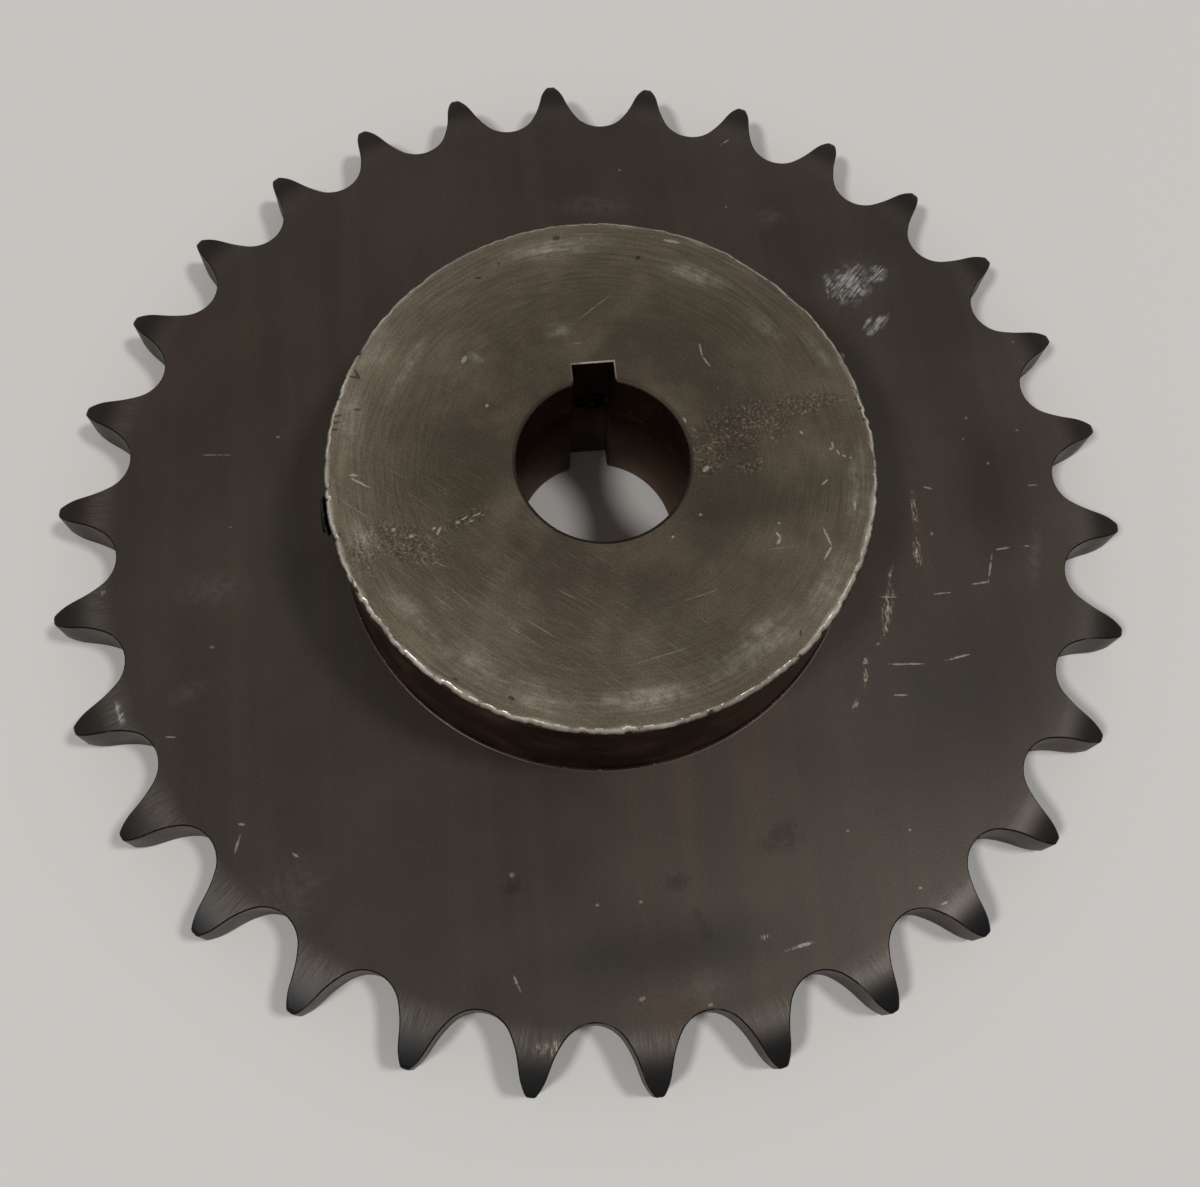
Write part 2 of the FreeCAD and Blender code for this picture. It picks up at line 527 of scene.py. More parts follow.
def set_screw(name, direction):
    """A threaded screw with a hexagon socket outwards and a cup point inwards."""
    mesh = bmesh.new()
    outer_end = screw_end
    inner_end = screw_end - screw_length
    crest = thread_crest - thread_clearance
    root = thread_root - thread_clearance
    rows = round(screw_length / thread_lead * thread_rows)
    socket_corner = socket_width / math.sqrt(3)
    outside = [(crest, outer_end - screw_length * i / rows) for i in range(rows + 1)]
    profile = [
        (0, outer_end - socket_depth - socket_tip),
        (socket_corner, outer_end - socket_depth),
        (socket_corner, outer_end - screw_end_bevel / 2),
        (socket_corner, outer_end),
        *outside,
        (point_radius / 2, inner_end + cup_depth / 2),
        (0, inner_end + cup_depth),
    ]
    spin_profile(mesh, profile, 0, math.tau, thread_steps)
    bmesh.ops.remove_doubles(mesh, verts=mesh.verts, dist=same_point)
    for vert in mesh.verts:
        radius = vert.co.xy.length
        angle = math.atan2(vert.co.y, vert.co.x)
        height = vert.co.z
        if abs(radius - socket_corner) < same_point and height > inner_end + cup_depth:
            side = (angle + math.pi / 6) % (math.pi / 3) - math.pi / 6
            radius = socket_width / 2 / math.cos(side)
        elif radius > crest - same_point:
            end_bevel = crest - screw_end_bevel + (outer_end - height)
            point_bevel = point_radius + (height - inner_end) * (crest - point_radius) / point_taper
            radius = min(thread_radius(height, angle, crest, root), end_bevel, point_bevel)
        vert.co = polar(radius, angle, height)
    mesh.transform(along_axis(direction))
    return piece_from(mesh, name)


# Materials

# How far below and above a face a mark of its finish still counts, and how far past its outline it fades
mark_depth = 6 * mm
mark_fade = 1.5

# The values between which most of a noise lies
noise_span = {"From Min": 0.3, "From Max": 0.7}

# Radii at which the brushing of the tooth faces and the painted reflection laid over it come in and go out,
# and at which their painted dark reflection comes in
brush_start = 113.5 * mm
brush_full = 118 * mm
brush_fade = 119 * mm
brush_end = 123.5 * mm
black_start = 117.5 * mm
black_full = 125 * mm

# How flat the faces of a zone lie, from 0 where they stand upright to 1 where they are level
upright_flat = 0.1
wall_flat = 0.3
tooth_face_flat = 0.87
level_flat = 0.9
rim_flat = 0.95

# How far the rim's finish reaches down the side and in over the face
rim_depth = 2 * mm

# Marks on the plate's front, each given by its middle in mm from the bore's axis, half its length,
# half its width, and the turn of its length from +X in degrees
plate_strokes = [
    (65.9, 57.0, 3.2, 0.3, -88),
    (71.4, 58.8, 4.4, 0.25, 48),
    (74.5, 56.6, 3.2, 0.2, 41),
    (69.2, 54.3, 2.2, 0.22, 100),
    (77.6, 46.3, 3.4, 0.4, 41),
    (108.0, -1.4, 1.5, 0.2, -3),
    (81.6, 0.2, 1.1, 0.3, -19),
    (75.6, -17.0, 2.4, 0.35, -97),
    (66.8, -26.5, 2.5, 0.2, -5),
    (66.3, -28.6, 1.8, 0.35, -109),
    (80.1, -26.8, 2.2, 0.25, 0),
    (89.4, -25.1, 2.1, 0.3, 3),
    (92.8, -21.5, 3.8, 0.25, 71),
    (96.7, -17.0, 2.3, 0.25, 4),
    (102.7, -16.9, 1.0, 0.25, -5),
    (68.0, -43.0, 4.9, 0.25, -5),
    (80.2, -42.6, 3.4, 0.3, 9),
    (65.2, -50.1, 1.9, 0.25, -6),
    (-85.5, -67.9, 3.0, 0.3, -109),
    (-84.8, -64.4, 0.9, 0.3, -14),
    (-73.4, -72.1, 0.9, 0.3, -38),
    (33.6, -102.1, 3.5, 0.4, 11),
    (-27.6, -103.4, 1.8, 0.35, -70),
    (66.0, -96.7, 1.2, 0.5, 16),
    (-90.3, 24.1, 3.9, 0.14, -5),
    (-100.2, -43.7, 1.3, 0.25, -6),
    (-111.9, -36.9, 2.6, 0.2, -75),
    (45.5, 105.0, 1.6, 0.25, 30),
]
plate_specks = [
    (95.0, 18.0, 0.5, 0.35, 20),
    (93.0, 12.4, 0.4, 0.3, 0),
    (98.0, 5.4, 0.5, 0.4, 40),
    (111.6, 38.2, 0.4, 0.3, 0),
    (107.2, 13.6, 0.4, 0.3, 0),
    (80.3, -11.7, 0.5, 0.4, 70),
    (62.3, -37.6, 0.6, 0.4, 20),
    (58.4, -41.8, 0.8, 0.4, 0),
    (57.9, -45.8, 0.6, 0.6, 0),
    (54.4, -51.4, 0.9, 0.4, 60),
    (-27.0, -81.1, 0.7, 0.6, 0),
    (-9.2, -89.2, 0.5, 0.4, 0),
    (0.3, -89.5, 0.5, 0.4, 0),
    (-1.7, -109.1, 0.9, 0.5, 20),
    (12.7, -111.8, 0.7, 0.4, 0),
    (61.7, -92.9, 0.5, 0.3, 0),
    (47.9, -79.2, 0.4, 0.3, 0),
    (61.8, -80.4, 0.4, 0.3, 0),
    (-75.6, 27.6, 0.5, 0.4, 0),
    (-91.3, -23.8, 0.7, 0.4, 0),
    (-87.1, 5.2, 0.4, 0.3, 0),
    (43.0, 84.5, 0.4, 0.3, 0),
    (16.0, 98.2, 0.5, 0.4, 0),
    (-116.1, -8.3, 0.5, 0.4, 0),
]
plate_scuffs = [
    (72.0, 58.5, 6.0, 5.0, 40),
    (67.0, 58.0, 3.6, 1.6, -80),
    (77.2, 46.0, 4.2, 1.3, 41),
    (74.6, 46.7, 2.4, 0.6, 47),
    (79.5, 61.0, 3.5, 2.2, 20),
    (-111.5, -37.5, 2.8, 0.9, -75),
]
plate_rubs = [
    (77.1, -5.7, 5.0, 0.7, -95),
    (75.8, -16.1, 4.0, 1.0, -97),
    (68.0, -22.3, 3.6, 0.7, -106),
    (66.1, -29.0, 4.6, 1.3, -109),
    (64.8, -34.0, 3.0, 0.7, -116),
    (66.9, 37.9, 0.9, 0.5, -64),
    (58.2, -43.8, 3.5, 0.6, -100),
    (54.4, -51.4, 1.6, 0.6, 60),
    (-116.1, -8.3, 1.2, 0.6, 70),
    (-22.0, -116.6, 3.4, 1.5, -5),
    (26.1, -99.5, 1.1, 0.6, -10),
]
plate_smears = [
    (73.0, 58.0, 10.0, 8.0, 30),
    (104.5, -18.9, 8.0, 1.6, -105),
    (8.6, 87.4, 12.0, 3.4, -4),
    (-96.7, -34.0, 5.0, 2.4, 18),
    (-91.0, -10.0, 8.0, 4.0, 0),
    (54.3, 80.5, 4.0, 3.0, 0),
    (12.0, -108.0, 6.0, 3.5, 0),
    (-75.0, -80.0, 9.0, 6.0, 30),
]
# Painted shade: broad dark ovals that dim the plate's lower right and lower middle
plate_painted_shades = [
    (86.0, -52.0, 34.0, 24.0, 58),
    (6.0, -100.0, 26.0, 7.0, 3),
    (99.0, -4.0, 22.0, 11.0, 85),
]
plate_stains = [
    (-27.2, -83.6, 3.4, 2.2, 0),
    (8.5, -86.0, 3.5, 2.2, 10),
    (13.0, -96.0, 4.0, 1.6, -75),
    (33.0, -79.0, 6.0, 3.4, 20),
]

# Marks on the hub's front face, given in the same way
hub_strokes = [
    (-52.6, -1.2, 2.5, 0.25, -33),
    (-53.9, 0.7, 0.9, 0.35, -10),
    (-32.4, -12.1, 0.5, 0.3, 20),
    (-31.0, -11.3, 0.9, 0.18, 25),
    (-29.6, -12.0, 0.6, 0.22, 8),
    (-28.4, -10.7, 1.0, 0.15, 22),
    (-24.3, 14.7, 0.4, 0.4, 0),
    (-28.6, 26.5, 1.0, 0.5, 60),
    (24.7, 24.6, 1.7, 0.22, -86),
    (25.5, 21.6, 1.6, 0.22, -61),
    (50.8, -1.2, 0.8, 0.28, -92),
    (50.3, -2.1, 0.5, 0.25, 10),
    (51.7, -3.1, 0.8, 0.25, -67),
    (52.9, -4.1, 0.5, 0.25, -34),
    (54.2, -4.6, 0.4, 0.2, -20),
    (44.3, 2.3, 0.6, 0.3, -46),
    (35.6, -21.1, 0.9, 0.3, -59),
    (35.5, -22.5, 0.8, 0.35, -130),
    (36.2, -18.4, 0.35, 0.25, 0),
    (46.1, -22.4, 2.3, 0.28, -75),
    (45.6, -26.1, 1.9, 0.3, -127),
    (18.9, 7.4, 0.7, 0.3, -77),
    (47.6, -9.9, 1.0, 0.25, 35),
    (53.3, -15.8, 1.2, 0.3, 80),
    (22.0, -4.5, 0.9, 0.6, 40),
    (21.6, 53.3, 2.0, 0.4, -16),
    (-42.2, -14.3, 0.5, 0.4, 0),
    (-37.5, -13.0, 0.4, 0.35, 0),
    (-46.0, -12.5, 0.45, 0.4, 0),
    (-36.5, -13.6, 1.0, 0.3, 60),
    (13.0, -19.5, 0.35, 0.3, 0),
    (19.5, -15.0, 0.35, 0.3, 0),
]
hub_scratches = [
    (-54.4, -6.7, 5.0, 0.16, -39),
    (2.0, 37.5, 7.5, 0.18, 36),
    (-36.0, -30.0, 4.5, 0.16, -42),
    (-33.5, -28.0, 3.5, 0.14, -44),
    (-20.0, -38.5, 5.0, 0.16, -38),
    (-17.5, -36.5, 4.0, 0.14, -36),
    (-11.0, -30.0, 3.0, 0.14, -34),
    (8.0, -45.0, 6.0, 0.16, 12),
    (-40.0, -20.5, 1.5, 0.18, -60),
    (-36.0, -21.5, 1.8, 0.16, -28),
    (17.0, -33.0, 5.0, 0.14, 14),
    (36.0, -24.0, 4.0, 0.12, 4),
    (-3.0, 28.5, 1.2, 0.16, 10),
]
hub_pits = [
    (-53.0, 24.2, 1.3, 0.32, -15),
    (-52.3, 24.8, 1.5, 0.35, -67),
    (-52.6, 16.2, 0.9, 0.28, -5),
    (-57.0, 15.0, 1.2, 0.3, 10),
    (-57.4, 13.4, 1.0, 0.3, 10),
    (-57.6, 11.8, 0.8, 0.3, 0),
    (-5.2, 56.3, 0.9, 0.7, 0),
    (13.2, 49.5, 0.7, 0.5, 30),
    (-24.0, 47.1, 0.9, 0.3, -5),
    (-19.0, 50.5, 0.4, 0.3, 0),
    (58.3, 9.6, 0.8, 0.25, 30),
    (58.5, 7.0, 0.7, 0.22, 14),
    (58.8, 4.2, 0.5, 0.25, 5),
    (58.2, 11.8, 0.9, 0.3, -40),
    (-35.0, -46.0, 0.6, 0.3, -40),
    (-24.0, -51.0, 0.8, 0.4, -30),
    (-57.6, -13.0, 0.8, 0.35, 70),
    (37.0, -43.0, 0.8, 0.25, 75),
]
hub_smears = [
    (-48.0, 31.0, 7.0, 3.5, 60),
    (-54.0, 14.0, 9.0, 2.6, 84),
    (-42.0, 24.0, 9.0, 1.6, 58),
    (-52.5, -14.0, 5.5, 2.6, -60),
    (-44.0, -30.0, 9.0, 2.2, -52),
    (-31.0, -43.0, 10.0, 3.0, -36),
    (-18.0, -51.0, 10.0, 3.2, -20),
    (3.0, -53.5, 12.0, 2.6, 3),
    (27.0, -45.0, 12.0, 4.0, 30),
    (46.0, -32.0, 9.0, 3.0, 52),
    (54.5, -12.0, 10.0, 2.4, 78),
    (-26.0, 27.0, 2.0, 1.3, -30),
    (-7.0, 32.0, 2.8, 1.9, 0),
    (40.0, 30.0, 5.0, 2.0, -48),
    (26.0, 44.0, 7.0, 2.4, -28),
    (-6.0, 53.5, 14.0, 2.6, 5),
    (51.0, 22.0, 6.0, 1.6, -60),
]
hub_mottles = [
    (-30.2, -11.4, 4.6, 1.6, 19),
    (-44.0, -15.5, 9.0, 4.0, -25),
    (-53.0, -17.0, 4.0, 4.5, 0),
    (24.5, 1.5, 5.0, 5.5, 0),
    (33.0, 5.0, 9.0, 5.5, 10),
    (46.0, 9.0, 9.0, 2.8, 8),
    (22.0, -4.0, 2.6, 2.2, 0),
    (31.8, -4.4, 3.0, 1.8, 0),
]


def surface(name):
    """A new material, and the tree to build its pattern in."""
    made = bpy.data.materials.new(name)
    made.use_nodes = True
    return made, made.node_tree


def axis_space(tree):
    """Where a point lies, the direction to it from the bore's axis, and its distance from the axis."""
    place = add(tree, "TexCoord").node.outputs["Object"]
    flat = add(tree, "VectorMath", {0: place, 1: (1, 1, 0)}, operation="MULTIPLY")
    outward = add(tree, "VectorMath", {0: flat}, operation="NORMALIZE")
    radius = add(tree, "VectorMath", {0: flat}, operation="LENGTH")
    return place, outward, radius


def streaks(tree, outward, level, turns, spacing, detail=3.0):
    """Noise that is drawn out round the axis, with so many turns to a radian, spaced along a level."""
    step = add(tree, "Math", {0: level, 1: spacing}, operation="DIVIDE")
    lift = add(tree, "CombineXYZ", {"Z": step})
    spot = add(tree, "VectorMath", {0: outward, 1: (turns, turns, turns), 2: lift}, operation="MULTIPLY_ADD")
    return add(tree, "TexNoise", {"Vector": spot, "Scale": 1.0, "Detail": detail})


def drawn_out(tree, place, lengths, turn=0):
    """The place counted in a length along each axis, after a turn round Z in degrees, for noise of size 1."""
    turned = add(tree, "Mapping", {"Vector": place, "Rotation": (0, 0, math.radians(turn))})
    return add(tree, "VectorMath", {0: turned, 1: lengths}, operation="DIVIDE")


def patches(tree, place, size, start, end, low=0.0, high=1.0, detail=4.0, roughness=0.5, distortion=0.0):
    """Noise of a size, and a share that goes from low to high as the noise goes from start to end."""
    look = {"Scale": 1 / size, "Detail": detail, "Roughness": roughness, "Distortion": distortion}
    noise = add(tree, "TexNoise", {"Vector": place, **look})
    reach = {"From Min": start, "From Max": end, "To Min": low, "To Max": high}
    return noise, add(tree, "MapRange", {"Value": noise, **reach})


def marked(tree, place, marks, height, ragged, none, full, share=1.0):
    """How strongly a point is marked, up to a share, by the strongest of some ragged oval marks.

    A mark's strength falls from 1 at its middle to 0 a little past its outline, and what lies under none
    doesn't show, while what lies over full shows wholly."""
    strongest = 0.0
    for across, upward, half_length, half_width, turn in marks:
        oval = add(tree, "TexGradient", {"Vector": place}, gradient_type="SPHERICAL").node
        fit = oval.texture_mapping
        fit.vector_type = "TEXTURE"
        fit.translation = (across * mm, upward * mm, height)
        fit.rotation = (0, 0, math.radians(turn))
        fit.scale = (half_length * mark_fade * mm, half_width * mark_fade * mm, mark_depth)
        strongest = add(tree, "Math", {0: strongest, 1: oval.outputs["Fac"]}, operation="MAXIMUM")
    uneven = add(tree, "Math", {0: strongest, 1: ragged}, operation="MULTIPLY")
    limits = {"Value": uneven, "From Min": none, "From Max": full, "To Max": share}
    return add(tree, "MapRange", limits, interpolation_type="SMOOTHSTEP")


def layered(tree, code, coats):
    """Colours laid over a first colour, each as far as its share says."""
    tone = colour(code)
    for share, coat in coats:
        tone = add(tree, "Mix", {"Factor": share, "A": tone, "B": colour(coat)}, data_type="RGBA")
    return tone


def varied(tree, tone, noise, most):
    """A tone made darker and lighter with a noise, by up to a share of itself."""
    gain = add(tree, "MapRange", {"Value": noise, **noise_span, "To Min": 1 - most, "To Max": 1 + most})
    return add(tree, "VectorMath", {0: tone, 1: gain}, operation="MULTIPLY")


def finish(made, tone, dull, metallic, gloss, relief, glance="#FFFFFF"):
    """Wires a pattern to a material's shader, and gives the material.

    Dull is a noise, with the roughness where it is low and where it is high. Relief is a noise and the depth
    of its bumps. Gloss is the shine of the oxide or dirt that lies on the metal, where 0.5 is that of a
    smooth film. Glance is the tint of what the surface mirrors at a low angle, which old oil browns."""
    tree = made.node_tree
    shader = tree.nodes["Principled BSDF"]
    noise, rough_low, rough_high = dull
    height, depth = relief
    rough = add(tree, "MapRange", {"Value": noise, **noise_span, "To Min": rough_low, "To Max": rough_high})
    bump = add(tree, "Bump", {"Height": height, "Strength": 1.0, "Distance": depth})
    tree.links.new(tone, shader.inputs["Base Color"])
    tree.links.new(rough, shader.inputs["Roughness"])
    tree.links.new(bump, shader.inputs["Normal"])
    shader.inputs["Metallic"].default_value = metallic
    shader.inputs["Specular IOR Level"].default_value = gloss
    shader.inputs["Specular Tint"].default_value = colour(glance)
    return made


def plate_steel():
    """Oxidised plate steel under a film of oil: a dark brown-grey satin, rubbed pale where it was struck.

    The tooth faces are brushed where they begin, under a painted reflection that lightens them there, and
    carry a painted dark reflection towards the tips."""
    made, tree = surface("oiled_oxidised_plate_steel")
    place, outward, radius = axis_space(tree)
    top = plate_thickness

    cloud, light = patches(tree, place, 34 * mm, 0.4, 0.7, high=0.45)
    _, warm = patches(tree, place, 58 * mm, 0.48, 0.7, high=0.3, detail=2.0, distortion=0.6)
    # Lighter streaks on the plate, which run along Y
    rolled = drawn_out(tree, place, (9 * mm, 190 * mm, 1.0))
    _, streak = patches(tree, rolled, 1.0, 0.46, 0.74, high=0.45, detail=3.0)

    # Grit of the oxide, drawn at 0.5 mm so that it shows
    grit, ragged = patches(tree, place, 0.5 * mm, 0.25, 0.75, 0.55, 1.45, detail=2.0)
    _, torn = patches(tree, place, 2.4 * mm, 0.35, 0.65, 0.3, 1.5, detail=5.0, roughness=0.65)
    # Bundles of fine scratches, about 0.5 mm apart: across the scuffs, and along the rubs
    slant = drawn_out(tree, place, (5 * mm, 0.5 * mm, 1.0), turn=-46)
    _, scratched = patches(tree, slant, 1.0, 0.4, 0.66, roughness=0.6)
    along = drawn_out(tree, place, (0.45 * mm, 2.2 * mm, 1.0))
    _, flaked = patches(tree, along, 1.0, 0.48, 0.62, high=0.7, detail=3.0, roughness=0.6)

    # Brush strokes across the start of the tooth faces, 0.45 mm apart, under a lighter band that is a painted
    # reflection, strongest on the lower left
    brush = streaks(tree, outward, radius, face_start / (0.45 * mm), 5 * mm)
    brushed = add(
        tree, "MapRange", {"Value": brush, "From Min": 0.35, "From Max": 0.7, "To Min": 0.1, "To Max": 0.4}
    )
    to_lower_left = add(tree, "VectorMath", {0: outward, 1: (-0.6, -0.8, 0)}, operation="DOT_PRODUCT")
    painted_reflection_there = add(tree, "MapRange", {"Value": to_lower_left, "From Min": 0.1, "To Min": 0.15})
    inner = {"Value": radius, "From Min": brush_start, "From Max": brush_full}
    brush_on = add(tree, "MapRange", inner, interpolation_type="SMOOTHSTEP")
    outer = {"Value": radius, "From Min": brush_end, "From Max": brush_fade, "To Max": brush_on}
    band = add(tree, "MapRange", outer, interpolation_type="SMOOTHSTEP")
    band_there = add(tree, "Math", {0: band, 1: painted_reflection_there}, operation="MULTIPLY")
    brush_and_reflection_share = add(tree, "Math", {0: band_there, 1: brushed}, operation="MULTIPLY")
    # Painted dark reflection towards the tips, strongest on the lower teeth
    down = add(tree, "VectorMath", {0: outward, 1: (0, -1, 0)}, operation="DOT_PRODUCT")
    painted_tip_darkness = add(
        tree, "MapRange", {"Value": down, "From Min": -0.1, "From Max": 0.8, "To Min": 0.58, "To Max": 0.92}
    )
    towards_tip = {"Value": radius, "From Min": black_start, "From Max": black_full, "To Max": painted_tip_darkness}
    tip = add(tree, "MapRange", towards_tip, interpolation_type="SMOOTHSTEP")

    tone = layered(
        tree,
        "#3A342E",
        [
            (light, "#433D35"),
            (warm, "#3E2D24"),
            (streak, "#4A3F35"),
            # Painted shade darkens the lower right and lower middle in broad ovals; where more oil lies, the
            # stains are darker
            (marked(tree, place, plate_painted_shades, top, 1.0, 0.0, 1.0, 0.6), "#221F1D"),
            (marked(tree, place, plate_stains, top, torn, 0.1, 0.8, 0.4), "#1F1B19"),
            (marked(tree, place, plate_smears, top, torn, 0.0, 1.2, 0.08), "#8F8A82"),
            # Lighter band at the start of the tooth faces: brush strokes with a painted reflection
            (brush_and_reflection_share, "#77726C"),
            # Painted dark reflection towards the tips
            (tip, "#101113"),
            (marked(tree, place, plate_scuffs, top, torn, 0.1, 0.8, scratched), "#A3A4A3"),
            (marked(tree, place, plate_rubs, top, torn, 0.1, 0.7, flaked), "#A99A86"),
            (marked(tree, place, plate_strokes, top, torn, 0.25, 0.6, 0.36), "#B5AFA5"),
            (marked(tree, place, plate_specks, top, ragged, 0.3, 0.6, 0.24), "#B8A890"),
        ],
    )
    tone = varied(tree, tone, grit, 0.1)
    return finish(made, tone, (cloud, 0.31, 0.41), metallic=0.35, gloss=0.18, relief=(grit, 0.01 * mm))


def hub_face_steel():
    """Turned steel under a thin brown patina, worn pale towards its rim and speckled with old rust.

    The rings of the lathe tool are drawn at 0.5 mm and the grain of the rust at 0.42 mm, coarser than the
    real ones, so that they show."""
    made, tree = surface("turned_hub_face_steel")
    place, outward, radius = axis_space(tree)
    top = through_length

    cloud, light = patches(tree, place, 17 * mm, 0.45, 0.66, high=0.9, detail=5.0, roughness=0.6)
    _, dark = patches(tree, place, 42 * mm, 0.46, 0.62, high=0.8, detail=2.0, distortion=0.5)
    ring_noise = {"W": radius, "Scale": 1 / (0.5 * mm), "Detail": 2.0}
    rings = add(tree, "TexNoise", ring_noise, noise_dimensions="1D")
    grit, ragged = patches(tree, place, 0.42 * mm, 0.25, 0.75, 0.55, 1.45, detail=2.0)
    _, torn = patches(tree, place, 3 * mm, 0.35, 0.65, 0.4, 1.4, detail=5.0, roughness=0.65)

    # Lighter wiped streaks towards the rim, where it was rubbed most; their share grows towards the upper
    # left, which is painted light
    to_upper_left = add(tree, "VectorMath", {0: place, 1: (-0.8, 0.6, 0)}, operation="DOT_PRODUCT")
    sides = {"Value": to_upper_left, "From Min": -45 * mm, "From Max": 45 * mm}
    wear_and_painted_light = add(tree, "MapRange", {**sides, "To Min": 0.45, "To Max": 0.95})
    outer = add(
        tree, "MapRange", {"Value": radius, "From Min": 30 * mm, "From Max": 59 * mm, "To Max": wear_and_painted_light}
    )
    wiped = streaks(tree, outward, radius, 6.0, 0.7 * mm, 5.0)
    wiped_share = add(
        tree, "MapRange", {"Value": wiped, "From Min": 0.38, "From Max": 0.75, "To Min": 0.32, "To Max": 0.8}
    )
    wiped_and_lit_outer = add(tree, "Math", {0: wiped_share, 1: outer}, operation="MULTIPLY")
    patchy = add(
        tree, "MapRange", {"Value": cloud, "From Min": 0.36, "From Max": 0.62, "To Min": 0.4, "To Max": 1.5}
    )
    wiped_patchy = add(tree, "Math", {0: wiped_share, 1: patchy}, operation="MULTIPLY")

    # Crumbs of rust and of bare steel in the speckled places, and of dust everywhere
    mottle = marked(tree, place, hub_mottles, top, torn, 0.05, 0.6, 0.6)
    crumb, dust = patches(tree, place, 0.6 * mm, 0.68, 0.76, high=0.45, detail=3.0, roughness=0.7)
    rust = add(tree, "MapRange", {"Value": crumb, "From Min": 0.5, "From Max": 0.4, "To Max": mottle})
    fleck = add(tree, "MapRange", {"Value": crumb, "From Min": 0.57, "From Max": 0.66, "To Max": mottle})

    # Hairlines 0.35 mm apart, where the lower left was wiped with grit
    to_lower_left = add(tree, "VectorMath", {0: place, 1: (-0.6, -0.8, 0)}, operation="DOT_PRODUCT")
    gritty = {"Value": to_lower_left, "From Min": 5 * mm, "From Max": 40 * mm, "To Min": 0.042, "To Max": 0.7}
    wiped_there = add(tree, "MapRange", gritty)
    wipe = drawn_out(tree, place, (8 * mm, 0.35 * mm, 1.0), turn=38)
    _, hairline = patches(tree, wipe, 1.0, 0.54, 0.76, high=wiped_there, detail=3.0, roughness=0.55)

    # The rim's wear reaches a little way in over the face, more in some places than in others
    rim_wave = streaks(tree, outward, radius, 7.0, 40 * mm, 8.0)
    reach = {"To Min": hub_radius - 0.225 * mm, "To Max": hub_radius - 1.625 * mm}
    worn_from = add(tree, "MapRange", {"Value": rim_wave, **noise_span, **reach})
    past = add(tree, "Math", {0: radius, 1: worn_from}, operation="SUBTRACT")
    upward = add(tree, "SeparateXYZ", {"Vector": place}).node.outputs["Y"]
    worn_low = add(
        tree, "MapRange", {"Value": upward, "From Min": 55 * mm, "From Max": 0, "To Min": 0.5, "To Max": 0.9}
    )
    worn = add(
        tree, "MapRange", {"Value": past, "From Min": -0.5 * mm, "From Max": 1.2 * mm, "To Max": worn_low}
    )

    tone = layered(
        tree,
        "#4A4135",
        [
            (light, "#5A5143"),
            (dark, "#3E362A"),
            # Wiped streaks towards the rim, with painted light on the upper left
            (wiped_and_lit_outer, "#827766"),
            (hairline, "#776D5E"),
            (marked(tree, place, hub_smears, top, torn, 0.0, 1.2, wiped_patchy), "#928A7B"),
            (rust, "#33261A"),
            (fleck, "#9C9181"),
            (dust, "#A39A8A"),
            (worn, "#BCB3A3"),
            (marked(tree, place, hub_scratches, top, torn, 0.2, 0.7, 0.3), "#A39C8D"),
            (marked(tree, place, hub_strokes, top, ragged, 0.25, 0.5, 0.4), "#C4BCAC"),
            (marked(tree, place, hub_pits, top, ragged, 0.25, 0.45, 0.62), "#120F0D"),
        ],
    )
    tone = varied(tree, tone, rings, 0.045)
    tone = varied(tree, tone, grit, 0.2)
    # Painted light: the whole face is made lighter towards the upper left, by up to a fifth, and darker
    # towards the lower right, by up to a tenth
    sides = {"Value": to_upper_left, "From Min": -50 * mm, "From Max": 50 * mm}
    painted_light_gain = add(tree, "MapRange", {**sides, "To Min": 0.89, "To Max": 1.2})
    tone = add(tree, "VectorMath", {0: tone, 1: painted_light_gain}, operation="MULTIPLY")
    return finish(made, tone, (cloud, 0.36, 0.48), metallic=0.7, gloss=0.35, relief=(rings, 0.006 * mm))


def worn_rim_steel():
    """Bare steel where the rim was knocked and rubbed: bright, uneven, with dark oil left in its nicks."""
    made, tree = surface("bare_worn_rim_steel")
    place, outward, radius = axis_space(tree)
    split = add(tree, "SeparateXYZ", {"Vector": place}).node
    knocks, dirt = patches(tree, place, 2.6 * mm, 0.42, 0.34, high=0.9, detail=5.0, roughness=0.65)
    # The lower half of the rim was struck and rubbed more than the upper half
    upward = split.outputs["Y"]
    low = add(tree, "MapRange", {"Value": upward, "From Min": 55 * mm, "From Max": 0, "To Min": 0.4})
    long_wear = streaks(tree, outward, radius, 5.0, 60 * mm)
    bare = add(tree, "MapRange", {"Value": long_wear, "From Min": 0.35, "From Max": 0.6, "To Max": low})
    # Below the bevel the wear thins out into the side's dark skin
    uneven = add(tree, "Math", {0: knocks, 1: 0.9 * mm, 2: split.outputs["Z"]}, operation="MULTIPLY_ADD")
    thinning = {"From Min": through_length + 0.2 * mm, "From Max": through_length - 0.4 * mm}
    skin = add(tree, "MapRange", {"Value": uneven, **thinning})
    tone = layered(tree, "#A0988A", [(bare, "#E6DFD2"), (dirt, "#1D1916"), (skin, "#2E231D")])
    return finish(made, tone, (knocks, 0.5, 0.3), metallic=0.85, gloss=0.5, relief=(knocks, 0.05 * mm))


